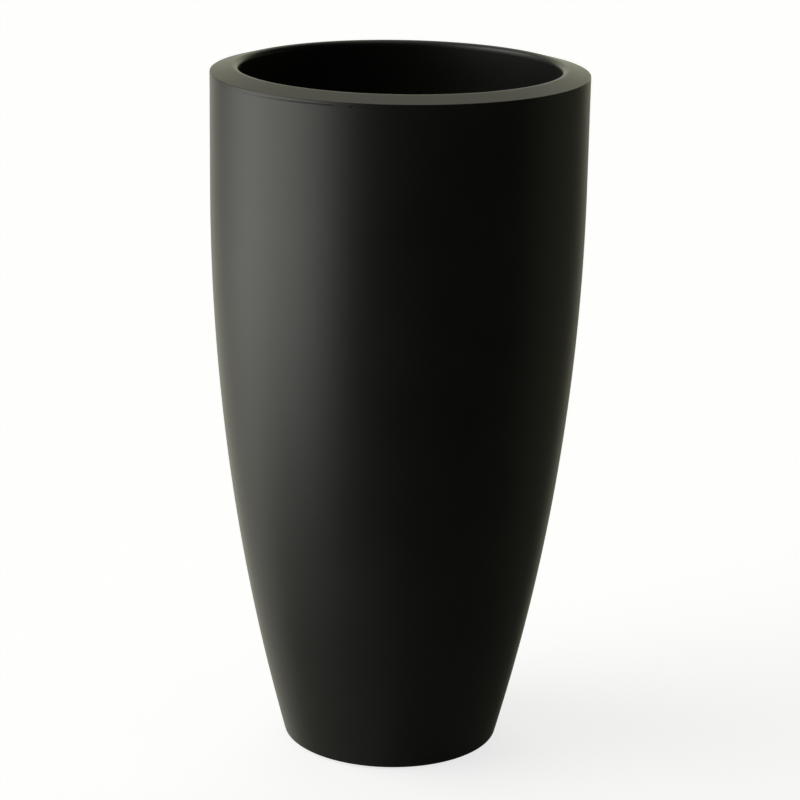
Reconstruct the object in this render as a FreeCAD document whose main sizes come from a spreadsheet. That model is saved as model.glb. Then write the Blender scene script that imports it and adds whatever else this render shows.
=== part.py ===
"""Tall round planter: a moulded shell with a removable planting pot.

Frame: millimetres, +Z up. The origin is on the floor, on the planter's axis.
The body is one skin of even thickness, whose wall rises in a long arc and stands upright
at the top. The rim is bonded onto its edge, with a sloped top and a throat that goes down
inside. A flat ring bonded under the throat makes the ledge that the planting pot hangs on
by its flange, and the pot lifts out by two folding wire handles. A stopper closes the
drain hole in the floor, and the body stands on rubber pads let into its base.
"""
import FreeCAD, Part
import math
import os
import Sketcher

SIZES = {
    # The body, the rim and the ledge ring
    "wall": 5.0,                # thickness of the body, the rim and the ledge ring
    "outer_radius": 195.0,      # outside of the upright band
    "base_radius": 115.1,       # underside, where the wall meets it
    "shell_height": 731.2,      # underside to the inner edge of the rim, before rounding
    "upright_band": 119.0,      # straight stretch of wall below the rim
    "rim_width": 29.4,          # from the outside of the band in to the throat
    "rim_drop": 7.6,            # fall of the rim's slope from its inner to its outer edge
    "throat_depth": 87.9,       # inner edge of the rim to the ledge
    "ledge_width": 14.6,        # how far the ledge ring stands in from the throat
    "seam_drop": 3.6,           # rim's outer edge to the seam where it meets the body
    "spigot_length": 12.0,      # lip of the rim that reaches down inside the body
    "spigot_gap": 0.2,          # bond between that lip and the body
    "base_rounding": 3.0,
    "rim_outer_rounding": 1.2,
    "rim_inner_rounding": 6.0,
    "ledge_rounding": 1.0,
    "floor_rounding": 8.0,
    # The drain hole and its stopper
    "drain_radius": 12.0,
    "stopper_clearance": 0.3,
    "stopper_collar_width": 6.0,
    "stopper_collar_height": 3.5,
    "stopper_neck_radius": 5.0,
    "stopper_neck_height": 9.0,
    "stopper_knob_radius": 9.0,
    "stopper_knob_height": 7.0,
    "stopper_rounding": 1.2,
    # The rubber pads under the base
    "pad_count": 4,
    "pad_inset": 23.0,          # edge of the base to the middle of a pad
    "pad_radius": 12.0,
    "pad_stand": 2.0,           # how far the pads lift the shell off the floor
    "pad_recess": 2.0,          # how far they are let into the base
    "pad_clearance": 0.25,
    "pad_rounding": 0.8,
    # The planting pot
    "pot_depth": 312.0,         # underside of the flange to underside of the pot
    "pot_taper": 29.0,          # how much narrower the pot is at its base than at its top
    "pot_wall": 2.5,
    "pot_side_gap": 14.0,       # between the ledge and the pot's side
    "flange_gap": 2.0,          # between the throat and the flange's edge
    "flange_thickness": 3.0,
    "flange_rounding": 1.0,
    "pot_base_rounding": 7.0,
    "weep_radius": 4.5,         # drain holes in the pot's floor
    "weep_inset": 25.0,         # edge of the pot's base to its outer ring of holes
    "weep_outer_count": 12,
    "weep_inner_ring": 48.0,
    "weep_inner_count": 6,
    # The folding wire handles and the lugs that carry them
    "wire_radius": 2.0,
    "wire_bend_radius": 6.0,
    "wire_end": 0.8,            # wire showing past the lug
    "handle_rest_gap": 0.3,     # between a folded handle and the flange
    "pivot_offset": 88.0,       # planter's axis to a handle's pivot line
    "pivot_clearance": 0.08,
    "lug_width": 8.6,
    "lug_length": 7.0,
    "lug_outset": 6.5,          # side of the pot out to the middle of a lug
    "lug_wire_gap": 0.6,        # lug's inner face to the start of the wire's bend
}

doc = FreeCAD.newDocument("TallPlanter")
sheet = doc.addObject("Spreadsheet::Sheet", "Sizes")
for row, (alias, value) in enumerate(SIZES.items(), start=1):
    sheet.set("A%d" % row, alias)
    sheet.set("B%d" % row, str(value))
    sheet.setAlias("B%d" % row, alias)
doc.recompute()


# ---------------------------------------------------------------- expressions
def size(alias):
    """Name of a cell as expressions write it."""
    return "Sizes." + alias


WALL = size("wall")
OUTER = size("outer_radius")
BASE = size("base_radius")
THROAT = f"({OUTER} - {size('rim_width')})"
THROAT_BACK = f"({THROAT} + {WALL})"
PAD_RING = f"({BASE} - {size('pad_inset')})"
PAD_STAND = size("pad_stand")

# Heights above the floor
UNDERSIDE = PAD_STAND
RIM_INNER_TOP = f"({UNDERSIDE} + {size('shell_height')})"
RIM_OUTER_TOP = f"({RIM_INNER_TOP} - {size('rim_drop')})"
BAND_FOOT = f"({RIM_OUTER_TOP} - {size('upright_band')})"
SEAM = f"({RIM_OUTER_TOP} - {size('seam_drop')})"
LEDGE_TOP = f"({RIM_INNER_TOP} - {size('throat_depth')})"
FLOOR_TOP = f"({UNDERSIDE} + {WALL})"
FLANGE_TOP = f"({LEDGE_TOP} + {size('flange_thickness')})"
POT_UNDERSIDE = f"({LEDGE_TOP} - {size('pot_depth')})"
PIVOT_HEIGHT = f"({FLANGE_TOP} + {size('handle_rest_gap')} + {size('wire_radius')})"

# The wall's long arc starts upright at the band's foot and ends at the base
ARC_RISE = f"({BAND_FOOT} - {UNDERSIDE})"
ARC_REACH = f"({OUTER} - {BASE})"
ARC_RADIUS = f"(({ARC_RISE}^2 + {ARC_REACH}^2) / (2 * {ARC_REACH}))"
INNER_ARC_RADIUS = f"({ARC_RADIUS} - {WALL})"
FLOOR_RADIUS = (f"({OUTER} - {ARC_RADIUS}"
                f" + sqrt({INNER_ARC_RADIUS}^2 - ({ARC_RISE} - {WALL})^2))")

# The rim's lip stands inside the body, and its skin lies under its slope at the wall's
# thickness, measured square to the slope
BAND_INSIDE = f"({OUTER} - {WALL})"
LIP_OUTSIDE = f"({BAND_INSIDE} - {size('spigot_gap')})"
LIP_INSIDE = f"({LIP_OUTSIDE} - {WALL})"
RIM_SLOPE = f"({size('rim_drop')} / ({OUTER} - {THROAT}))"
RIM_SKIN = f"({WALL} * sqrt(1 + {RIM_SLOPE}^2))"
RIM_INNER_UNDER = f"({RIM_INNER_TOP} - {RIM_SLOPE} * {WALL} - {RIM_SKIN})"
RIM_OUTER_UNDER = f"({RIM_OUTER_TOP} + {RIM_SLOPE} * ({OUTER} - {LIP_INSIDE}) - {RIM_SKIN})"

# The planting pot hangs inside the ledge
LEDGE_RADIUS = f"({THROAT} - {size('ledge_width')})"
POT_TOP_RADIUS = f"({LEDGE_RADIUS} - {size('pot_side_gap')})"
POT_BASE_RADIUS = f"({POT_TOP_RADIUS} - {size('pot_taper')})"
FLANGE_RADIUS = f"({THROAT} - {size('flange_gap')})"

# A lug stands on the flange just outside the pot, and the wire bends away beside it
LUG_REACH = f"({POT_TOP_RADIUS} + {size('lug_outset')})"
LUG_MIDDLE = f"sqrt({LUG_REACH}^2 - {size('pivot_offset')}^2)"
BEND_START = f"({LUG_MIDDLE} - {size('lug_length')} / 2 - {size('lug_wire_gap')})"
WIRE_END = f"({LUG_MIDDLE} + {size('lug_length')} / 2 + {size('wire_end')})"
BEND_CENTRE_X = f"({size('pivot_offset')} + {size('wire_bend_radius')})"
BEND_CENTRE_REACH = f"sqrt({BEND_CENTRE_X}^2 + {BEND_START}^2)"
HANDLE_RADIUS = f"({BEND_CENTRE_REACH} - {size('wire_bend_radius')})"


def value_of(expression):
    """Number that an expression has with the sheet's present sizes."""
    return float(sheet.evalExpression(expression))


# ------------------------------------------------------------------- builders
def new_body(label):
    body = doc.addObject("PartDesign::Body", label)
    body.Label = label
    body.Placement = FreeCAD.Placement()
    return body


def new_sketch(body, name, plane_role, offset=None):
    """Sketch on one of the body's origin planes, moved along its normal by an expression."""
    planes = [feature for feature in body.Origin.OriginFeatures if feature.Role == plane_role]
    sketch = body.newObject("Sketcher::SketchObject", name)
    sketch.AttachmentSupport = [(planes[0], "")]
    sketch.MapMode = "FlatFace"
    if offset is not None:
        sketch.setExpression("AttachmentOffset.Base.z", offset)
    doc.recompute()
    return sketch


def bind(sketch, constraint, expression):
    """Add a constraint whose value follows an expression."""
    index = sketch.addConstraint(constraint)
    sketch.setExpression("Constraints[%d]" % index, expression)


def fix_point(sketch, geometry, end, across, up):
    """Hold one point of a sketch at two expressions, or on an axis where one is 0."""
    if across == "0":
        sketch.addConstraint(Sketcher.Constraint("PointOnObject", geometry, end, -2))
    else:
        place = Sketcher.Constraint("DistanceX", -1, 1, geometry, end, value_of(across))
        bind(sketch, place, across)
    if up == "0":
        sketch.addConstraint(Sketcher.Constraint("PointOnObject", geometry, end, -1))
    else:
        place = Sketcher.Constraint("DistanceY", -1, 1, geometry, end, value_of(up))
        bind(sketch, place, up)


def arc_between(start, finish, radius, turns_left):
    """Arc of up to a half circle from start to finish; turns_left if it runs anticlockwise."""
    chord = finish - start
    middle = (start + finish) * 0.5
    left = FreeCAD.Vector(-chord.y, chord.x, 0).normalize()
    # On a half circle the centre lies on the chord, where rounding can leave a tiny minus
    reach = math.sqrt(max(radius ** 2 - (chord.Length / 2) ** 2, 0))
    centre = middle + left * (reach if turns_left else -reach)
    angles = [math.atan2(point.y - centre.y, point.x - centre.x) for point in (start, finish)]
    if not turns_left:
        angles.reverse()
    circle = Part.Circle(centre, FreeCAD.Vector(0, 0, 1), radius)
    return Part.ArcOfCircle(circle, angles[0], angles[1])


def draw_outline(sketch, corners, arcs=None, closed=True):
    """Draw lines through corners given as pairs of expressions.

    arcs maps the number of a side to (radius expression, turns_left). A half circle adds
    the height of its centre, which holds it more steadily than its radius does.
    """
    arcs = arcs or {}
    points = [FreeCAD.Vector(value_of(x), value_of(y), 0) for x, y in corners]
    sides = len(corners) if closed else len(corners) - 1
    first_ends = []
    last_ends = []
    for side in range(sides):
        start = points[side]
        finish = points[(side + 1) % len(points)]
        if side in arcs:
            radius, turns_left, *centre = arcs[side]
            geometry = sketch.addGeometry(arc_between(start, finish, value_of(radius), turns_left))
            if centre:
                height = centre[0]
                place = Sketcher.Constraint("DistanceY", -1, 1, geometry, 3, value_of(height))
                bind(sketch, place, height)
            else:
                bind(sketch, Sketcher.Constraint("Radius", geometry, value_of(radius)), radius)
            ends = (1, 2) if turns_left else (2, 1)
        else:
            geometry = sketch.addGeometry(Part.LineSegment(start, finish))
            ends = (1, 2)
        first_ends.append((geometry, ends[0]))
        last_ends.append((geometry, ends[1]))
    for side in range(sides):
        if side > 0 or closed:
            joint = Sketcher.Constraint("Coincident", *last_ends[side - 1], *first_ends[side])
            sketch.addConstraint(joint)
        fix_point(sketch, *first_ends[side], *corners[side])
    if not closed:
        fix_point(sketch, *last_ends[-1], *corners[-1])


def draw_circle(sketch, across, up, radius):
    centre = FreeCAD.Vector(value_of(across), value_of(up), 0)
    circle = Part.Circle(centre, FreeCAD.Vector(0, 0, 1), value_of(radius))
    geometry = sketch.addGeometry(circle)
    fix_point(sketch, geometry, 3, across, up)
    bind(sketch, Sketcher.Constraint("Radius", geometry, value_of(radius)), radius)


def revolve(body, name, sketch):
    """Turn a sketch of the XZ plane full circle about the vertical axis."""
    feature = body.newObject("PartDesign::Revolution", name)
    feature.Profile = sketch
    feature.ReferenceAxis = (sketch, ["V_Axis"])
    feature.Angle = 360.0
    doc.recompute()
    return feature


def pad(body, name, sketch, length, both_ways=False):
    feature = body.newObject("PartDesign::Pad", name)
    feature.Profile = sketch
    feature.setExpression("Length", length)
    feature.Midplane = both_ways
    doc.recompute()
    return feature


def pocket_up(body, name, sketch, depth):
    """Cut upwards from a sketch, and make sure that it took something away."""
    before = body.Shape.Volume
    feature = body.newObject("PartDesign::Pocket", name)
    feature.Profile = sketch
    feature.setExpression("Length", depth)
    feature.Reversed = True
    doc.recompute()
    if body.Shape.Volume >= before:
        raise RuntimeError(name + " cuts nothing")
    return feature


def repeat_around(body, name, feature, count):
    """Repeat a feature evenly around the vertical axis."""
    axes = [axis for axis in body.Origin.OriginFeatures if axis.Role == "Z_Axis"]
    pattern = body.newObject("PartDesign::PolarPattern", name)
    pattern.Originals = [feature]
    pattern.Axis = (axes[0], [""])
    pattern.Angle = 360.0
    pattern.setExpression("Occurrences", count)
    body.Tip = pattern
    doc.recompute()
    return pattern


def ring_edges(shape, radius, height):
    """Names of the round edges about the vertical axis at a radius and a height."""
    near = 0.01
    names = []
    for number, edge in enumerate(shape.Edges, start=1):
        curve = edge.Curve
        if not isinstance(curve, Part.Circle):
            continue
        level = abs(curve.Center.z - value_of(height)) < near
        centred = math.hypot(curve.Center.x, curve.Center.y) < near
        if level and centred and abs(curve.Radius - value_of(radius)) < near:
            names.append("Edge%d" % number)
    if not names:
        raise RuntimeError("no round edge at the given radius and height")
    return names


def round_rings(body, name, base, rings, radius):
    """Fillet the round edges given as (radius, height) pairs of expressions."""
    edges = []
    for ring_radius, ring_height in rings:
        edges += ring_edges(base.Shape, ring_radius, ring_height)
    feature = body.newObject("PartDesign::Fillet", name)
    feature.Base = (base, edges)
    feature.setExpression("Radius", radius)
    doc.recompute()
    return feature


# ------------------------------------------------------- body, rim and ledge
def build_body():
    """The body's skin, its drain hole and the recesses for the pads."""
    body = new_body("body_shell")
    corners = [
        ("0", UNDERSIDE),
        (BASE, UNDERSIDE),
        (OUTER, BAND_FOOT),
        (OUTER, SEAM),
        (BAND_INSIDE, SEAM),
        (BAND_INSIDE, BAND_FOOT),
        (FLOOR_RADIUS, FLOOR_TOP),
        ("0", FLOOR_TOP),
    ]
    wall_side = 1
    inner_wall_side = 5
    arcs = {wall_side: (ARC_RADIUS, True), inner_wall_side: (INNER_ARC_RADIUS, False)}
    outline = new_sketch(body, "BodyOutline", "XZ_Plane")
    draw_outline(outline, corners, arcs)
    skin = revolve(body, "BodySkin", outline)
    rounded = round_rings(body, "BaseEdge", skin, [(BASE, UNDERSIDE)], size("base_rounding"))
    round_rings(body, "FloorCorner", rounded, [(FLOOR_RADIUS, FLOOR_TOP)],
                size("floor_rounding"))

    drain = new_sketch(body, "DrainCircle", "XY_Plane", UNDERSIDE)
    draw_circle(drain, "0", "0", size("drain_radius"))
    pocket_up(body, "DrainHole", drain, WALL)

    recess = new_sketch(body, "PadRecessCircle", "XY_Plane", UNDERSIDE)
    recess_radius = f"({size('pad_radius')} + {size('pad_clearance')})"
    draw_circle(recess, PAD_RING, "0", recess_radius)
    first = pocket_up(body, "PadRecess", recess, size("pad_recess"))
    repeat_around(body, "PadRecesses", first, size("pad_count"))
    return body


def build_rim():
    """The rim: a lip inside the body, the sloped top and the throat."""
    body = new_body("rim_ring")
    lip_foot = f"({SEAM} - {size('spigot_length')})"
    corners = [
        (OUTER, SEAM),
        (OUTER, RIM_OUTER_TOP),
        (THROAT, RIM_INNER_TOP),
        (THROAT, LEDGE_TOP),
        (THROAT_BACK, LEDGE_TOP),
        (THROAT_BACK, RIM_INNER_UNDER),
        (LIP_INSIDE, RIM_OUTER_UNDER),
        (LIP_INSIDE, lip_foot),
        (LIP_OUTSIDE, lip_foot),
        (LIP_OUTSIDE, SEAM),
    ]
    outline = new_sketch(body, "RimOutline", "XZ_Plane")
    draw_outline(outline, corners)
    ring = revolve(body, "RimTurned", outline)
    rounded = round_rings(body, "RimOuterEdge", ring, [(OUTER, RIM_OUTER_TOP)],
                          size("rim_outer_rounding"))
    round_rings(body, "RimInnerEdge", rounded, [(THROAT, RIM_INNER_TOP)],
                size("rim_inner_rounding"))
    return body


def build_ledge():
    """Flat ring under the throat's foot; its inner part is the ledge."""
    body = new_body("pot_ledge")
    ledge_under = f"({LEDGE_TOP} - {WALL})"
    corners = [
        (LEDGE_RADIUS, ledge_under),
        (THROAT_BACK, ledge_under),
        (THROAT_BACK, LEDGE_TOP),
        (LEDGE_RADIUS, LEDGE_TOP),
    ]
    outline = new_sketch(body, "LedgeOutline", "XZ_Plane")
    draw_outline(outline, corners)
    ring = revolve(body, "LedgeTurned", outline)
    round_rings(body, "LedgeEdge", ring, [(LEDGE_RADIUS, ledge_under)],
                size("ledge_rounding"))
    return body


# ------------------------------------------------------------- pads, stopper
def build_pads():
    """Round rubber pads that fill the recesses and carry the shell."""
    pads = []
    count = int(value_of(size("pad_count")))
    for number in range(count):
        body = new_body("foot_pad_%d" % (number + 1))
        circle = new_sketch(body, "PadCircle%d" % (number + 1), "XY_Plane")
        draw_circle(circle, "0", "0", size("pad_radius"))
        disc = pad(body, "PadDisc%d" % (number + 1), circle,
                   f"{size('pad_stand')} + {size('pad_recess')}")
        round_rings(body, "PadEdge%d" % (number + 1), disc, [(size("pad_radius"), "0")],
                    size("pad_rounding"))
        turn = f"360 / {size('pad_count')} * {number}"
        body.setExpression("Placement.Base.x", f"{PAD_RING} * cos({turn})")
        body.setExpression("Placement.Base.y", f"{PAD_RING} * sin({turn})")
        pads.append(body)
    return pads


def build_stopper():
    """Rubber stopper: a shank in the drain hole, a collar on the floor and a pull knob."""
    body = new_body("drain_plug")
    shank = f"({size('drain_radius')} - {size('stopper_clearance')})"
    collar = f"({size('drain_radius')} + {size('stopper_collar_width')})"
    collar_top = f"({FLOOR_TOP} + {size('stopper_collar_height')})"
    knob_foot = f"({collar_top} + {size('stopper_neck_height')})"
    knob_top = f"({knob_foot} + {size('stopper_knob_height')})"
    corners = [
        ("0", UNDERSIDE),
        (shank, UNDERSIDE),
        (shank, FLOOR_TOP),
        (collar, FLOOR_TOP),
        (collar, collar_top),
        (size("stopper_neck_radius"), collar_top),
        (size("stopper_neck_radius"), knob_foot),
        (size("stopper_knob_radius"), knob_foot),
        (size("stopper_knob_radius"), knob_top),
        ("0", knob_top),
    ]
    outline = new_sketch(body, "StopperOutline", "XZ_Plane")
    draw_outline(outline, corners)
    turned = revolve(body, "StopperTurned", outline)
    rings = [
        (shank, UNDERSIDE),
        (collar, collar_top),
        (size("stopper_knob_radius"), knob_foot),
        (size("stopper_knob_radius"), knob_top),
    ]
    round_rings(body, "StopperEdges", turned, rings, size("stopper_rounding"))
    return body


# --------------------------------------------------------------- planting pot
def add_weep_ring(body, name, ring_radius, count):
    """A ring of drain holes through the pot's floor."""
    circle = new_sketch(body, name + "Circle", "XY_Plane", POT_UNDERSIDE)
    draw_circle(circle, ring_radius, "0", size("weep_radius"))
    first = pocket_up(body, name + "Hole", circle, size("pot_wall"))
    repeat_around(body, name + "Holes", first, count)


def add_lug(body, name, side_x, side_y):
    """A lug on the flange, with the bore that a handle's end turns in."""
    half_width = f"({size('lug_width')} / 2)"
    pivot_x = f"({side_x} * {size('pivot_offset')})"
    sunk = f"({FLANGE_TOP} - {size('flange_thickness')} / 2)"
    left = f"({pivot_x} - {half_width})"
    right = f"({pivot_x} + {half_width})"
    corners = [(left, sunk), (right, sunk), (right, PIVOT_HEIGHT), (left, PIVOT_HEIGHT)]
    top_side = 2
    # A sketch on this plane faces -Y, so its offset is measured that way
    outline = new_sketch(body, name + "Outline", "XZ_Plane", f"{-side_y} * {LUG_MIDDLE}")
    draw_outline(outline, corners, {top_side: (half_width, True, PIVOT_HEIGHT)})
    bore_radius = f"({size('wire_radius')} + {size('pivot_clearance')})"
    draw_circle(outline, pivot_x, PIVOT_HEIGHT, bore_radius)
    pad(body, name, outline, size("lug_length"), both_ways=True)


def build_pot():
    """The planting pot: a tapered pot with a flange, drain holes and four lugs."""
    body = new_body("inner_pot")
    wall = size("pot_wall")
    pot_floor = f"({POT_UNDERSIDE} + {wall})"
    corners = [
        ("0", POT_UNDERSIDE),
        (POT_BASE_RADIUS, POT_UNDERSIDE),
        (POT_TOP_RADIUS, LEDGE_TOP),
        (FLANGE_RADIUS, LEDGE_TOP),
        (FLANGE_RADIUS, FLANGE_TOP),
        (f"({POT_TOP_RADIUS} - {wall})", FLANGE_TOP),
        (f"({POT_BASE_RADIUS} - {wall})", pot_floor),
        ("0", pot_floor),
    ]
    outline = new_sketch(body, "PotOutline", "XZ_Plane")
    draw_outline(outline, corners)
    turned = revolve(body, "PotTurned", outline)
    rounded = round_rings(body, "PotBaseEdge", turned,
                          [(POT_BASE_RADIUS, POT_UNDERSIDE)],
                          size("pot_base_rounding"))
    rounded = round_rings(body, "PotFloorCorner", rounded,
                          [(f"({POT_BASE_RADIUS} - {wall})", pot_floor)],
                          f"{size('pot_base_rounding')} - {wall}")
    round_rings(body, "FlangeEdge", rounded, [(FLANGE_RADIUS, FLANGE_TOP)],
                size("flange_rounding"))
    outer_ring = f"({POT_BASE_RADIUS} - {size('weep_inset')})"
    add_weep_ring(body, "OuterWeep", outer_ring, size("weep_outer_count"))
    add_weep_ring(body, "InnerWeep", size("weep_inner_ring"), size("weep_inner_count"))
    lugs = {"LugRightBack": (1, 1), "LugRightFront": (1, -1),
            "LugLeftBack": (-1, 1), "LugLeftFront": (-1, -1)}
    for name, (side_x, side_y) in lugs.items():
        add_lug(body, name, side_x, side_y)
    return body


def build_handle(label, turn):
    """A wire handle folded flat on the flange, turned about the planter's axis."""
    body = new_body(label)
    pivot = size("pivot_offset")
    bend = size("wire_bend_radius")
    # Where the bend meets the long arc: on the line from the axis to the bend's centre
    share = f"({HANDLE_RADIUS} / ({HANDLE_RADIUS} + {bend}))"
    meet_x = f"({BEND_CENTRE_X} * {share})"
    meet_y = f"({BEND_START} * {share})"
    corners = [
        (pivot, WIRE_END),
        (pivot, BEND_START),
        (meet_x, meet_y),
        (meet_x, f"(-{meet_y})"),
        (pivot, f"(-{BEND_START})"),
        (pivot, f"(-{WIRE_END})"),
    ]
    arcs = {1: (bend, True), 2: (HANDLE_RADIUS, False), 3: (bend, True)}
    path = new_sketch(body, label + "_path", "XY_Plane", PIVOT_HEIGHT)
    draw_outline(path, corners, arcs, closed=False)
    section = new_sketch(body, label + "_section", "XZ_Plane", f"-{WIRE_END}")
    draw_circle(section, pivot, PIVOT_HEIGHT, size("wire_radius"))
    wire = body.newObject("PartDesign::AdditivePipe", label + "_wire")
    wire.Profile = section
    wire.Spine = (path, ["Edge%d" % (side + 1) for side in range(len(corners) - 1)])
    body.Placement = FreeCAD.Placement(FreeCAD.Vector(), FreeCAD.Rotation(turn, 0, 0))
    doc.recompute()
    length = sum(edge.Length for edge in path.Shape.Edges)
    swept = math.pi * value_of(size("wire_radius")) ** 2 * length
    if abs(body.Shape.Volume / swept - 1) > 0.01:
        raise RuntimeError(label + " isn't as thick as its wire all along")
    return body


def export(bodies):
    """Check every object and every piece, then write one file per piece."""
    doc.recompute()
    for thing in doc.Objects:
        if "Invalid" in thing.State or "Error" in thing.State:
            raise RuntimeError(f"{thing.Name} failed: {thing.State}")
    for body in bodies:
        shape = body.Shape
        if shape.isNull() or not shape.isValid() or len(shape.Solids) != 1:
            raise RuntimeError(body.Label + " isn't one sound solid")
    os.makedirs("parts", exist_ok=True)
    for body in bodies:
        body.Shape.exportStep(os.path.join("parts", body.Label + ".step"))
        box = body.Shape.BoundBox
        print(f"{body.Label:18s} {body.Shape.Volume / 1000:9.2f} cm3"
              f"  x {box.XMin:7.1f}..{box.XMax:6.1f}  y {box.YMin:7.1f}..{box.YMax:6.1f}"
              f"  z {box.ZMin:6.1f}..{box.ZMax:6.1f}")


half_turn = 180
pieces = [build_body(), build_rim(), build_ledge(), build_pot(), build_stopper()]
pieces += build_pads()
pieces.append(build_handle("lift_handle_right", 0))
pieces.append(build_handle("lift_handle_left", half_turn))
export(pieces)
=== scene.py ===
# %% [markdown]
# # A tall round planter
#
# The planter is a tall moulded body, narrow at the floor and wide at the top, with a flat sloped rim bonded
# onto its edge. Inside the mouth a planting pot hangs on a ledge and lifts out by two wire handles. This
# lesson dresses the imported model: it reads the frame, turns the two mouldings that show again with the fine
# shape of their seam, gives every piece its own finish, and sets a plain studio around it.

import math

import bpy
from mathutils import Matrix, Vector, noise


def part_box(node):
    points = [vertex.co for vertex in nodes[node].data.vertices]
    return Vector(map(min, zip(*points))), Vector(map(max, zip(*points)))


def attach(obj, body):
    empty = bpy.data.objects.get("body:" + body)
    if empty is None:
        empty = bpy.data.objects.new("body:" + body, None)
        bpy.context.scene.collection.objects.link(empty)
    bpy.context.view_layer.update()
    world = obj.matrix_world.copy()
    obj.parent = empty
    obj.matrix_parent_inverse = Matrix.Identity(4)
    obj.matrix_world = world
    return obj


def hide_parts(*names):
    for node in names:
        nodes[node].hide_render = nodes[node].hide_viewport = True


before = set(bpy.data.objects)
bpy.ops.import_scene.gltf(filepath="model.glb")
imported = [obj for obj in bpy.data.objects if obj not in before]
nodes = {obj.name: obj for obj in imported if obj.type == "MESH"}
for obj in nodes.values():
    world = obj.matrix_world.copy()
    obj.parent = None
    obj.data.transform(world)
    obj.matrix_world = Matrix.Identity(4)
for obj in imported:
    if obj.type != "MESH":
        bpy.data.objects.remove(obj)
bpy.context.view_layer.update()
print("nodes:", ", ".join(sorted(nodes)))

# %% [markdown]
# ## Sizes
#
# Most sizes are read off the frame, so the dressed pieces sit where the solids sit. A box can't tell a wall
# thickness or a rounding, and those few are written here once, in metres.

# %% Read the sizes off the frame
MM = 0.001

body_low, body_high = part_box("body_shell")
rim_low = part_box("rim_ring")[0]
ledge_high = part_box("pot_ledge")[1]

WALL = 5 * MM
OUTER_RADIUS = body_high.x
UNDERSIDE = body_low.z
FLOOR_TOP = UNDERSIDE + WALL
SEAM = body_high.z
THROAT_FOOT = rim_low.z
THROAT_RADIUS = ledge_high.x - WALL
print(f"the band is {2 * OUTER_RADIUS:.3f} m across, and its seam lies {SEAM:.4f} m up")

# %% Write down what the frame's boxes can't tell
BASE_RADIUS = 115.1 * MM
DRAIN_RADIUS = 12 * MM
BAND_FOOT = UNDERSIDE + 604.6 * MM
RIM_OUTER_TOP = SEAM + 3.6 * MM
RIM_DROP = 7.6 * MM
RIM_INNER_TOP = RIM_OUTER_TOP + RIM_DROP
print(f"the rim's slope falls {RIM_DROP / MM:.1f} mm over {(OUTER_RADIUS - THROAT_RADIUS) / MM:.1f} mm")

# %% [markdown]
# ## Turning a profile
#
# Both mouldings are round, so each is a profile turned about the vertical axis, as on a lathe. A profile is a
# list of corners, each with the radius of its rounding. The roundings become short arcs in the mesh rather
# than a bevel later, because a crisp edge needs its highlight in exactly the right place. Each arc also gets
# a guard point on the straight at both its ends. Smooth shading would otherwise spread the arc's bend over
# the whole flat beside it.

# %% Round the corners of a profile
ARC_STEPS = 10


def rounded(corners):
    """Points through corners given as (r, z, rounding), with each rounding as an arc."""
    points = []
    for number, (r, z, rounding) in enumerate(corners):
        here = Vector((r, z))
        if rounding == 0:
            points.append(here)
            continue
        back = (Vector(corners[number - 1][:2]) - here).normalized()
        ahead = (Vector(corners[(number + 1) % len(corners)][:2]) - here).normalized()
        half = back.angle(ahead) / 2
        centre = here + (back + ahead).normalized() * rounding / math.sin(half)
        first = here + back * rounding / math.tan(half) - centre
        last = here + ahead * rounding / math.tan(half) - centre
        sweep = math.copysign(math.pi - 2 * half, first.x * last.y - first.y * last.x)
        guard = rounding * abs(sweep) / ARC_STEPS
        points.append(centre + first + back * guard)
        for step in range(ARC_STEPS + 1):
            points.append(centre + Matrix.Rotation(sweep * step / ARC_STEPS, 2) @ first)
        points.append(centre + last + ahead * guard)
    return points


# %% Step along a long arc of the wall
def bow(radius, centre_r, centre_z, low, high, steps):
    """Corners without rounding along an arc, from the height low to the height high."""
    corners = []
    for step in range(steps + 1):
        z = low + (high - low) * step / steps
        corners.append((centre_r + math.sqrt(radius ** 2 - (z - centre_z) ** 2), z, 0))
    return corners


# %% Turn a profile about the vertical axis
TURN = 2 * math.pi


def shaded(mesh):
    """Smooth shading that stops at real edges."""
    mesh.shade_smooth()
    mesh.set_sharp_from_angle(angle=math.radians(40))


def turned(name, profile, azimuths, shape):
    """Piece from a profile turned about the axis. shape(azimuth, r, z) gives the moved r and z."""
    rows = []
    for azimuth in azimuths:
        across, along = math.sin(azimuth), -math.cos(azimuth)
        for point in profile:
            r, z = shape(azimuth, point.x, point.y)
            rows.append((r * across, r * along, z))
    count = len(profile)
    faces = []
    for turn in range(len(azimuths)):
        here = turn * count
        there = (turn + 1) % len(azimuths) * count
        for side in range(count):
            after = (side + 1) % count
            faces.append((here + side, there + side, there + after, here + after))
    mesh = bpy.data.meshes.new(name)
    mesh.from_pydata(rows, [], faces)
    mesh.validate()
    shaded(mesh)
    piece = bpy.data.objects.new(name, mesh)
    bpy.context.scene.collection.objects.link(piece)
    print(f"{name}: {len(mesh.vertices)} points, {len(mesh.polygons)} faces")
    return piece


# %% [markdown]
# ## The seam
#
# A fine line runs round the outside just under the rim, where the rim is bonded onto the body. It is nearly
# closed all round, but on the left front it stands a little open and ends in a nick, with one small pit a
# little further on. Azimuths are counted from the front, positive to the right. The groove is real geometry:
# its upper lip turns down into shade and its lower lip turns up, away from the low light, and that is what
# makes such a seam show at all.

# %% Describe the seam's groove
SEAM_HALF_WIDTH = 0.75 * MM
SEAM_CLOSED_DEPTH = 0.03 * MM
SEAM_GUARD = 0.15 * MM
CRACK = 0.04 * MM
# A point this near to the outer radius counts as lying on the outside of the band
OUTSIDE_MARGIN = 0.1 * MM

# Stretches where the seam stands open: azimuths from and to, softness of both ends, and depth
SEAM_OPENINGS = [
    (-47, -18.6, 18, 1.2, 0.13 * MM),
    (-80, -58, 8, 8, 0.10 * MM),
]
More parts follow.
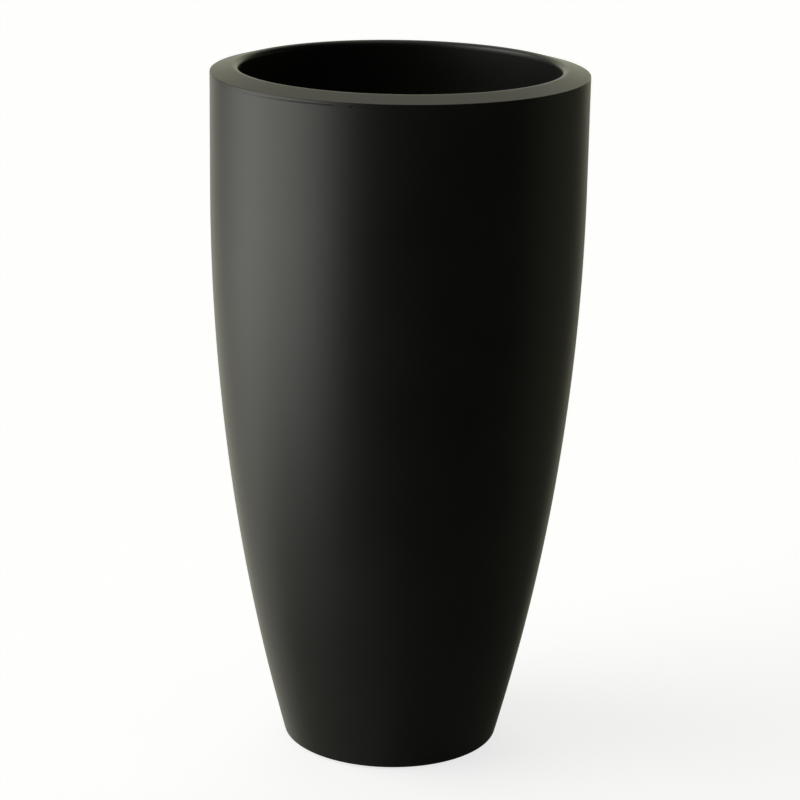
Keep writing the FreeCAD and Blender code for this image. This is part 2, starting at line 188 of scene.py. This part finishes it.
# Small marks on the seam: azimuth, half width, and extra depth
SEAM_MARKS = [
    (-19.6, 0.45, 0.55 * MM),
    (-13.6, 0.4, 0.9 * MM),
]


def smooth_step(low, high, value):
    """0 below low and 1 above high, with a soft step between them."""
    share = min(max((value - low) / (high - low), 0), 1)
    return share * share * (3 - 2 * share)


def seam_depth(degrees):
    """Depth of the groove at an azimuth between -180 and 180 degrees."""
    depth = SEAM_CLOSED_DEPTH
    for start, end, soft_start, soft_end, open_depth in SEAM_OPENINGS:
        opening = smooth_step(start, start + soft_start, degrees)
        opening *= 1 - smooth_step(end - soft_end, end, degrees)
        depth += open_depth * opening
    for middle, half_width, extra in SEAM_MARKS:
        depth += extra * math.exp(-((degrees - middle) / half_width) ** 2)
    return depth


# %% [markdown]
# A moulding is never a perfect turned shape. Its wall wanders by about a tenth of a millimetre, which no eye
# sees as shape, but which bends the long reflections a little, as on the real one. The wandering only goes
# inward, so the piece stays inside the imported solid's box.

# %% Let the wall wander, and sink the groove
WANDER = 0.12 * MM
LUMPS_ROUND = 2.1
LUMPS_UP = 7


def wall_shape(azimuth, r, z):
    """Sink the groove, and let both faces of the wall wander below it."""
    away = abs(z - SEAM) / SEAM_HALF_WIDTH
    if r > OUTER_RADIUS - OUTSIDE_MARGIN and away < 1:
        degrees = math.degrees(azimuth if azimuth <= math.pi else azimuth - TURN)
        r -= seam_depth(degrees) * math.cos(away * math.pi / 2) ** 2
    elif r > BASE_RADIUS + WALL and z < SEAM - SEAM_HALF_WIDTH:
        place = Vector((math.sin(azimuth) * LUMPS_ROUND, math.cos(azimuth) * LUMPS_ROUND, z * LUMPS_UP))
        r -= WANDER * (1 + noise.noise(place)) / 2
    return r, z


# %% Choose the steps round the axis, finer at the seam's marks
azimuths = [TURN * step / 360 for step in range(360)]
for middle, half_width, _ in SEAM_MARKS:
    azimuths += [math.radians(middle + half_width * step / 3) % TURN for step in range(-7, 8)]
azimuths = sorted(set(round(azimuth, 6) for azimuth in azimuths))
print(f"{len(azimuths)} steps round the axis")

# %% [markdown]
# ## The body
#
# The wall is one skin. Seen from the side it is part of a very large circle, whose centre lies far out on the
# other side of the axis at the height where the upright band starts. The inner face is the same arc, one wall
# thickness smaller. The drain hole is simply where the profile starts and ends.

# %% Draw the body's profile
rise = BAND_FOOT - UNDERSIDE
reach = OUTER_RADIUS - BASE_RADIUS
BOW_RADIUS = (rise ** 2 + reach ** 2) / (2 * reach)
BOW_CENTRE = OUTER_RADIUS - BOW_RADIUS
BOW_STEPS = 48
BAND_STEPS = 10
DRAIN_ROUNDING = 0.8 * MM
FOOT_ROUNDING = 3 * MM
BODY_EDGE_ROUNDING = 0.5 * MM
FLOOR_ROUNDING = 8 * MM
print(f"the wall's arc has a radius of {BOW_RADIUS:.3f} m")


def seam_rows(low, high, count=6):
    """Corners up the outside of the band, close together for the groove."""
    return [(OUTER_RADIUS, low + (high - low) * step / count, 0) for step in range(count + 1)]


body_corners = [(DRAIN_RADIUS, UNDERSIDE, DRAIN_ROUNDING), (BASE_RADIUS, UNDERSIDE, FOOT_ROUNDING)]
body_corners += bow(BOW_RADIUS, BOW_CENTRE, BAND_FOOT, UNDERSIDE, BAND_FOOT, BOW_STEPS)[1:]
for step in range(1, BAND_STEPS):
    body_corners.append((OUTER_RADIUS, BAND_FOOT + (SEAM - BAND_FOOT) * step / BAND_STEPS, 0))
body_corners += [(OUTER_RADIUS, SEAM - SEAM_HALF_WIDTH - SEAM_GUARD, 0)]
body_corners += seam_rows(SEAM - SEAM_HALF_WIDTH, SEAM - CRACK)
body_corners += [(OUTER_RADIUS - WALL, SEAM - CRACK, BODY_EDGE_ROUNDING)]
inner_wall = bow(BOW_RADIUS - WALL, BOW_CENTRE, BAND_FOOT, FLOOR_TOP, BAND_FOOT, BOW_STEPS)
body_corners += reversed(inner_wall[1:])
body_corners += [(inner_wall[0][0], FLOOR_TOP, FLOOR_ROUNDING), (DRAIN_RADIUS, FLOOR_TOP, DRAIN_ROUNDING)]

# %% Turn the body
body = turned("planter_body", rounded(body_corners), azimuths, wall_shape)

# %% [markdown]
# The four rubber pads sit in shallow round recesses. They are the one thing on the body that isn't turned, so
# they are cut out afterwards with a Boolean, one cutter holding four short cylinders.

# %% Cut the recesses for the pads
PAD_NAMES = [f"foot_pad_{number}" for number in (1, 2, 3, 4)]
RECESS_GAP = 0.25 * MM
RECESS_SIDES = 72
CUTTER_FOOT = -1 * MM


def cutter_for_pads():
    """Short cylinders, one round each pad and up to its top, as one mesh."""
    rows, faces = [], []
    for name in PAD_NAMES:
        low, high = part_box(name)
        middle = (low + high) / 2
        radius = (high.x - low.x) / 2 + RECESS_GAP
        first = len(rows)
        for height in (CUTTER_FOOT, high.z):
            for side in range(RECESS_SIDES):
                angle = TURN * side / RECESS_SIDES
                across = middle.x + radius * math.cos(angle)
                along = middle.y + radius * math.sin(angle)
                rows.append((across, along, height))
        for side in range(RECESS_SIDES):
            after = (side + 1) % RECESS_SIDES
            faces.append((first + side, first + after, first + RECESS_SIDES + after,
                          first + RECESS_SIDES + side))
        faces.append([first + side for side in reversed(range(RECESS_SIDES))])
        faces.append([first + RECESS_SIDES + side for side in range(RECESS_SIDES)])
    mesh = bpy.data.meshes.new("recess_cutter")
    mesh.from_pydata(rows, [], faces)
    cutter = bpy.data.objects.new("recess_cutter", mesh)
    bpy.context.scene.collection.objects.link(cutter)
    return cutter


def cut(piece, cutter):
    """Take the cutter out of the piece for good, and remove the cutter."""
    boolean = piece.modifiers.new("recesses", "BOOLEAN")
    boolean.operation = "DIFFERENCE"
    boolean.solver = "EXACT"
    boolean.object = cutter
    depsgraph = bpy.context.evaluated_depsgraph_get()
    mesh = bpy.data.meshes.new_from_object(piece.evaluated_get(depsgraph))
    piece.modifiers.clear()
    uncut = piece.data
    piece.data = mesh
    mesh.name = piece.name
    bpy.data.meshes.remove(uncut)
    bpy.data.objects.remove(cutter)
    shaded(mesh)
    print(f"{piece.name}: {len(mesh.polygons)} faces with the recesses")


cut(body, cutter_for_pads())
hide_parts("body_shell")
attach(body, "planter")

# %% [markdown]
# ## The rim
#
# The rim's top slopes down from its inner edge to its outer one. Its outer edge is crisp, and the narrow side
# below that edge leans in by a hair, the draft that lets a moulding leave its mould. Its inner edge is
# well rounded, and at the front of the mouth that rounding turns away from the eye, so it shows as one thin
# bright line. Inside, the rim goes down as the throat, and a lip stands inside the body's edge.

# %% Draw the rim's profile and turn it
LIP_RADIUS = OUTER_RADIUS - WALL - 0.2 * MM
LIP_FOOT = SEAM - 12 * MM
OUTER_ROUNDING = 0.7 * MM
DRAFT = 0.15 * MM
INNER_ROUNDING = 6 * MM
SMALL_ROUNDING = 0.4 * MM
# A corner without rounding part of the way up the throat's wall
THROAT_ROW = THROAT_FOOT + 40 * MM
rim_slope = RIM_DROP / (OUTER_RADIUS - THROAT_RADIUS)


def under_rim(radius):
    """Height of the rim's underside, one wall below its slope."""
    top = RIM_INNER_TOP - rim_slope * (radius - THROAT_RADIUS)
    return top - WALL * math.sqrt(1 + rim_slope ** 2)


throat_back = THROAT_RADIUS + WALL
lip_inside = LIP_RADIUS - WALL
rim_corners = seam_rows(SEAM + CRACK, SEAM + SEAM_HALF_WIDTH) + [
    (OUTER_RADIUS, SEAM + SEAM_HALF_WIDTH + SEAM_GUARD, 0),
    (OUTER_RADIUS - DRAFT, RIM_OUTER_TOP, OUTER_ROUNDING),
    (THROAT_RADIUS, RIM_INNER_TOP, INNER_ROUNDING),
    (THROAT_RADIUS, THROAT_ROW, 0),
    (THROAT_RADIUS, THROAT_FOOT, SMALL_ROUNDING),
    (throat_back, THROAT_FOOT, SMALL_ROUNDING),
    (throat_back, under_rim(throat_back), SMALL_ROUNDING),
    (lip_inside, under_rim(lip_inside), SMALL_ROUNDING),
    (lip_inside, LIP_FOOT, SMALL_ROUNDING),
    (LIP_RADIUS, LIP_FOOT, SMALL_ROUNDING),
    (LIP_RADIUS, SEAM + CRACK, 0),
]
rim = turned("planter_rim", rounded(rim_corners), azimuths, wall_shape)
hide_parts("rim_ring")
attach(rim, "planter")

# %% [markdown]
# ## Writing a finish as sums
#
# A finish is a small web of nodes. Sums read better than wires, so one class wraps a socket and lets Python's
# own operators add the Math nodes, and another keeps a tree of nodes and adds any other kind.

# %% A socket that can be added and multiplied
class Wire:
    """An output socket that takes part in sums."""

    def __init__(self, board, socket):
        self.board = board
        self.socket = socket

    def other(self, name):
        """Another output of the same node."""
        return Wire(self.board, self.socket.node.outputs[name])

    def __add__(self, other):
        return self.board.sum("ADD", self, other)

    def __sub__(self, other):
        return self.board.sum("SUBTRACT", self, other)

    def __rsub__(self, other):
        return self.board.sum("SUBTRACT", other, self)

    def __mul__(self, other):
        return self.board.sum("MULTIPLY", self, other)

    def __truediv__(self, other):
        return self.board.sum("DIVIDE", self, other)

    def __pow__(self, other):
        return self.board.sum("POWER", self, other)

    __radd__ = __add__
    __rmul__ = __mul__


# %% A tree of nodes
class Board:
    """The nodes of one material, or of the world."""

    def __init__(self, owner):
        owner.use_nodes = True
        self.tree = owner.node_tree
        self.tree.nodes.clear()

    def node(self, kind, settings=None, inputs=None, out=0):
        """Add a node, set its settings, then its inputs, and give one of its outputs."""
        made = self.tree.nodes.new("ShaderNode" + kind)
        for name, value in (settings or {}).items():
            setattr(made, name, value)
        for name, value in (inputs or {}).items():
            socket = made.inputs[name]
            if isinstance(value, Wire):
                self.tree.links.new(value.socket, socket)
            else:
                socket.default_value = value
        return Wire(self, made.outputs[out]) if len(made.outputs) else None

    def sum(self, operation, first, second):
        """One Math node on two values."""
        return self.node("Math", {"operation": operation}, {0: first, 1: second})

    def smooth(self, value, low, high):
        """0 below low and 1 above high, with a soft step between them."""
        return self.node("MapRange", {"interpolation_type": "SMOOTHSTEP"},
                         {"Value": value, "From Min": low, "From Max": high})

    def axes(self, place):
        """The three parts of a vector."""
        split = self.node("SeparateXYZ", None, {"Vector": place})
        return split, split.other("Y"), split.other("Z")

    def stretched(self, place, x, y, z):
        """A vector with its three parts multiplied."""
        return self.node("VectorMath", {"operation": "MULTIPLY"}, {0: place, 1: (x, y, z)})

    def cloud(self, place, scale, detail=2.0, roughness=0.5):
        """Noise between 0 and 1, with scale in lumps per metre."""
        return self.node("TexNoise", None, {"Vector": place, "Scale": scale, "Detail": detail,
                                            "Roughness": roughness})

    def mix(self, share, first, second):
        """Mix two colours."""
        return self.node("Mix", {"data_type": "RGBA"}, {0: share, 6: first, 7: second}, out=2)

    def bump(self, height, strength, distance):
        """A normal that follows a height."""
        return self.node("Bump", None, {"Strength": strength, "Distance": distance, "Height": height})

    def surface(self, **inputs):
        """A Principled surface that ends the tree. Underscores stand for spaces in the names."""
        shader = self.node("BsdfPrincipled", None,
                           {name.replace("_", " "): value for name, value in inputs.items()})
        self.node("OutputMaterial", None, {"Surface": shader})


def rgb(red, green, blue):
    """A solid colour."""
    return (red, green, blue, 1)


# %% [markdown]
# ## The moulded shell
#
# The shell is a dark anthracite plastic with a satin skin: almost no colour of its own, so what shows is the
# sheen, and that needs a roughness a little under one half that isn't quite even. Two grains lie on it, a
# fine one from the mould and a wider orange peel. Hands polish the rim's edges a little, and the foot picks
# up scuffs and a trace of dust.

# %% Shell finish
def shell_finish():
    """Satin anthracite plastic, rubbed at the rim's edges and scuffed at the foot."""
    material = bpy.data.materials.new("satin_anthracite")
    board = Board(material)
    place = board.node("TexCoord", out="Object")
    across, along, height = board.axes(place)
    radius = (across * across + along * along) ** 0.5

    drift = board.cloud(place, 9, detail=3)
    mottle = board.cloud(place, 140, detail=4, roughness=0.6)
    fine = board.cloud(place, 1500)
    peel = board.cloud(place, 320, detail=1)

    from_edge = ((radius - OUTER_RADIUS) ** 2 + (height - RIM_OUTER_TOP) ** 2) ** 0.5
    near_edge = 1 - board.smooth(from_edge, 1.0 * MM, 4 * MM)
    inner_edge = 1 - board.smooth(radius, THROAT_RADIUS + 5 * MM, THROAT_RADIUS + 9 * MM)
    polished = inner_edge * board.smooth(height, RIM_INNER_TOP - 14 * MM, RIM_INNER_TOP - 8 * MM)
    near_foot = 1 - board.smooth(height, 4 * MM, 30 * MM)
    rubbed = near_edge * board.smooth(mottle, 0.45, 0.7)
    scuffed = near_foot * board.smooth(mottle, 0.5, 0.75)

    dark = rgb(0.0145, 0.0150, 0.0130)
    light = rgb(0.0195, 0.0200, 0.0175)
    worn = rgb(0.032, 0.032, 0.028)
    tint = board.mix(board.smooth(drift, 0.3, 0.7), dark, light)
    colour = board.mix(rubbed * 0.4 + scuffed * 0.5, tint, worn)

    roughness = 0.355 + drift * 0.06 + mottle * 0.04 - rubbed * 0.05 - polished * 0.05 + scuffed * 0.08
    normal = board.bump(fine * 0.4 + peel * 0.6, 0.25, 0.06 * MM)
    board.surface(Base_Color=colour, Roughness=roughness, Normal=normal, IOR=1.5)
    print(f"{material.name}: {len(board.tree.nodes)} nodes")
    return material


shell = shell_finish()
body.data.materials.append(shell)
rim.data.materials.append(shell)
nodes["pot_ledge"].material_slots[0].material = shell

# %% [markdown]
# ## The planting pot
#
# The planting pot is thin black polypropylene from an injection mould. It is glossier than the shell, and the
# plastic's flow from the gate leaves faint upright streaks on its side. Watering leaves a pale bloom of lime,
# most of all low on the side and on the flange, so the bloom is a cloud held to those heights.

# %% Pot finish
pot_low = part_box("inner_pot")[0]
FLANGE_HEIGHT = THROAT_FOOT


def pot_finish():
    """Black polypropylene with upright flow streaks and a pale bloom of lime."""
    material = bpy.data.materials.new("black_polypropylene")
    board = Board(material)
    place = board.node("TexCoord", out="Object")
    height = board.axes(place)[2]

    flow = board.cloud(board.stretched(place, 1, 1, 0.06), 150, detail=3)
    specks = board.cloud(place, 700, detail=3, roughness=0.7)
    clouds = board.cloud(place, 35, detail=4, roughness=0.6)
    fine = board.cloud(place, 1800)

    low_down = 1 - board.smooth(height, pot_low.z + 10 * MM, pot_low.z + 120 * MM)
    on_flange = board.smooth(height, FLANGE_HEIGHT - 1 * MM, FLANGE_HEIGHT + 1 * MM)
    bloom = board.smooth(clouds, 0.45, 0.75) * board.smooth(specks, 0.35, 0.7)
    bloom = bloom * (0.15 + low_down * 0.6 + on_flange * 0.35)

    black = board.mix(flow, rgb(0.009, 0.009, 0.0095), rgb(0.014, 0.014, 0.0145))
    colour = board.mix(bloom * 0.5, black, rgb(0.16, 0.155, 0.14))
    roughness = 0.30 + flow * 0.10 + bloom * 0.35
    normal = board.bump(flow * 0.7 + fine * 0.3, 0.3, 0.08 * MM)
    board.surface(Base_Color=colour, Roughness=roughness, Normal=normal, IOR=1.49)
    print(f"{material.name}: {len(board.tree.nodes)} nodes")
    return material


nodes["inner_pot"].material_slots[0].material = pot_finish()

# %% [markdown]
# ## The wire handles
#
# The handles are stainless wire. Drawing it through a die leaves fine lines that run along it. Each handle
# runs round the axis for most of its length, so lines that depend only on the distance from the axis and on
# the height follow the wire. Dull spots sit where water has dried on it.

# %% Wire finish
def wire_finish():
    """Drawn stainless wire with dull spots where water has dried."""
    material = bpy.data.materials.new("drawn_stainless_wire")
    board = Board(material)
    place = board.node("TexCoord", out="Object")
    across, along, height = board.axes(place)
    radius = (across * across + along * along) ** 0.5
    section = board.node("CombineXYZ", None, {"X": radius, "Y": height})

    drawn = board.cloud(section, 2600, detail=3, roughness=0.6)
    dried = board.smooth(board.cloud(place, 260, detail=3), 0.55, 0.72)

    colour = board.mix(drawn, rgb(0.50, 0.49, 0.47), rgb(0.66, 0.65, 0.63))
    colour = board.mix(dried * 0.4, colour, rgb(0.36, 0.35, 0.33))
    roughness = 0.20 + drawn * 0.12 + dried * 0.22
    normal = board.bump(drawn, 0.35, 0.03 * MM)
    board.surface(Base_Color=colour, Roughness=roughness, Normal=normal, Metallic=1.0)
    print(f"{material.name}: {len(board.tree.nodes)} nodes")
    return material


wire = wire_finish()
for name in ("lift_handle_right", "lift_handle_left"):
    nodes[name].material_slots[0].material = wire

# %% [markdown]
# ## The rubber pieces
#
# The stopper and the pads are black rubber. Rubber is dull, and soft at the eye, because its skin is finely
# pitted and talc or dust stays in the pits. The pads carry the weight on a floor, so they get greyer low
# down, where they touch it. One function makes both, with the height up to which dust has rubbed in.

# %% Rubber finish
def rubber_finish(name, tone, dust_top):
    """Black rubber of one tone, dusty up to the height dust_top."""
    material = bpy.data.materials.new(name)
    board = Board(material)
    place = board.node("TexCoord", out="Object")
    height = board.axes(place)[2]

    pits = board.cloud(place, 2400, detail=3, roughness=0.65)
    blotch = board.cloud(place, 160, detail=3)
    dusty = (1 - board.smooth(height, dust_top / 4, dust_top)) * board.smooth(pits, 0.4, 0.65)
    dusty = dusty * 0.5 + board.smooth(blotch, 0.5, 0.75) * 0.2

    black = board.mix(blotch, rgb(tone, tone, tone * 0.98), rgb(tone * 1.5, tone * 1.5, tone * 1.45))
    colour = board.mix(dusty, black, rgb(0.085, 0.082, 0.075))
    roughness = 0.66 + pits * 0.12 + dusty * 0.15
    normal = board.bump(pits, 0.5, 0.08 * MM)
    board.surface(Base_Color=colour, Roughness=roughness, Normal=normal, IOR=1.52)
    print(f"{material.name}: {len(board.tree.nodes)} nodes")
    return material


nodes["drain_plug"].material_slots[0].material = rubber_finish("soft_black_rubber", 0.016, 8 * MM)
pad_rubber = rubber_finish("dusty_black_rubber", 0.020, 3 * MM)
for name in PAD_NAMES:
    nodes[name].material_slots[0].material = pad_rubber

# %% [markdown]
# ## The floor
#
# The floor is a pale matte sheet. To the camera it also glows a little, so that it reads as nearly white
# while the object's soft shadow stays on it. Reflections go through it: what the shell mirrors from below
# the horizon is then a part of the studio that can be tuned, and not the floor's own glow.

# %% Lay the floor
FLOOR_HALF = 9
corners = [(-FLOOR_HALF, -FLOOR_HALF, 0), (FLOOR_HALF, -FLOOR_HALF, 0),
           (FLOOR_HALF, FLOOR_HALF, 0), (-FLOOR_HALF, FLOOR_HALF, 0)]
floor_mesh = bpy.data.meshes.new("floor")
floor_mesh.from_pydata(corners, [], [(0, 1, 2, 3)])
floor = bpy.data.objects.new("floor", floor_mesh)
bpy.context.scene.collection.objects.link(floor)

floor_material = bpy.data.materials.new("pale_floor")
board = Board(floor_material)
rays = board.node("LightPath", out="Is Camera Ray")
lit = board.node("BsdfDiffuse", None, {"Color": rgb(0.5, 0.5, 0.5)})
glow = board.node("Emission", None, {"Color": rgb(1, 1, 1), "Strength": rays * 0.77})
matte = board.node("AddShader", None, {0: lit, 1: glow})
clear = board.node("BsdfTransparent")
seen = board.node("MixShader", None, {0: rays.other("Is Glossy Ray"), 1: matte, 2: clear})
board.node("OutputMaterial", None, {"Surface": seen})
floor_mesh.materials.append(floor_material)
print(f"the floor is {2 * FLOOR_HALF} m across")

# %% [markdown]
# ## The studio
#
# A dark satin object shows little but its surroundings, so the studio is built as those surroundings. A
# broad soft light stands low at the left, a pale backdrop closes the room behind, and the rest is dim. Each
# is a soft-edged patch of the sky, given by its azimuth and elevation in degrees: azimuth 0 is the front, and
# it grows to the left. They are patches rather than lamps because a patch can be told exactly where it ends.

# %% Write down the lights
# Colour, strength, azimuth from and to with its softness, elevation from and to with its softness
LIGHTS = {
    "low softbox": ((1, 1, 0.94), 3.5, (43.5, 113, 44), (-23.7, 4, 14)),
    "high softbox": ((1, 1, 0.94), 2.7, (57, 120, 44), (22, 55, 20)),
    "backdrop": ((1, 1, 0.78), 0.58, (147, 208, 10), (-26, 60, 9)),
    "backdrop at the horizon": ((1, 1, 0.78), 0.3, (147, 208, 10), (-2, 22, 12)),
    "foot of the backdrop": ((1, 1, 0.78), 0.5, (148, 212, 10), (-9, 6, 8)),
    "top of the backdrop": ((1, 1, 0.92), 0.22, (148, 212, 10), (37, 62, 10)),
    "wall at the left": ((1, 0.98, 0.84), 0.68, (110, 175, 30), (-36.5, -8, 16)),
    "wall at the right": ((1, 1, 0.7), 0.125, (190, 270, 30), (-28, 18, 20)),
    "floor in front": ((1, 1, 0.85), 0.06, (-360, 400, 10), (-95, -34, 25)),
    "floor at the left": ((1, 1, 0.85), 0.13, (-20, 175, 50), (-95, -34, 25)),
    "overhead": ((1, 1, 1), 0.5, (-360, 400, 10), (66, 100, 16)),
}
ROOM_STRENGTH = 0.008

# %% Build the surroundings
world = bpy.data.worlds.new("studio")
bpy.context.scene.world = world
board = Board(world)
x, y, z = board.axes(board.node("TexCoord", out="Generated"))
turned_left = board.node("Math", {"operation": "ARCTAN2"}, {0: x * -1, 1: y * -1}) * (180 / math.pi)
azimuth = turned_left + board.sum("LESS_THAN", turned_left, 0.0) * 360
elevation = board.node("Math", {"operation": "ARCSINE"}, {0: z}) * (180 / math.pi)


def band(value, low, high, softness):
    """1 between low and high, with soft ends."""
    half = softness / 2
    return board.smooth(value, low - half, low + half) * (1 - board.smooth(value, high - half, high + half))


room = board.node("Background", None, {"Color": rgb(1, 1, 0.9), "Strength": ROOM_STRENGTH})
for tint, strength, across_band, up_band in LIGHTS.values():
    patch = band(azimuth, *across_band) * band(elevation, *up_band) * strength
    light = board.node("Background", None, {"Color": rgb(*tint), "Strength": patch})
    room = board.node("AddShader", None, {0: room, 1: light})

# %% [markdown]
# The eye of the camera, and anything seen through clear material, meets plain white instead of the patches.

# %% Show white to the camera
rays = board.node("LightPath", out="Is Camera Ray")
straight = board.sum("MAXIMUM", rays, rays.other("Is Transmission Ray"))
white = board.node("Background", None, {"Color": rgb(1, 1, 1), "Strength": 1.0})
seen = board.node("MixShader", None, {0: straight, 1: room, 2: white})
board.node("OutputWorld", None, {"Surface": seen})
print(f"{len(LIGHTS)} soft lights")

# %% [markdown]
# ## The camera
#
# A long lens stands over two and a half metres in front and above the rim, and looks down at the middle of
# the planter. It is turned by about one degree about its own axis, as a camera on a tripod easily is.

# %% Set up the camera
CAMERA_PLACE = Vector((0, -2.66500, 1.16636))
PITCH, YAW, ROLL = 0.28876, 0.00197, 0.01698
LENS = 117.88

camera_data = bpy.data.cameras.new("camera")
camera_data.lens = LENS
camera_data.sensor_width = 36
camera = bpy.data.objects.new("camera", camera_data)
bpy.context.scene.collection.objects.link(camera)
forward = Vector((math.sin(YAW) * math.cos(PITCH), math.cos(YAW) * math.cos(PITCH), -math.sin(PITCH)))
right = Vector((math.cos(YAW), -math.sin(YAW), 0))
up = right.cross(forward)
right, up = (math.cos(ROLL) * right + math.sin(ROLL) * up, math.cos(ROLL) * up - math.sin(ROLL) * right)
facing = Matrix((right, up, -forward)).transposed().to_4x4()
camera.matrix_world = Matrix.Translation(CAMERA_PLACE) @ facing
bpy.context.scene.camera = camera
bpy.context.scene.view_settings.view_transform = "Standard"
print(f"the camera looks down by {math.degrees(PITCH):.1f} degrees")
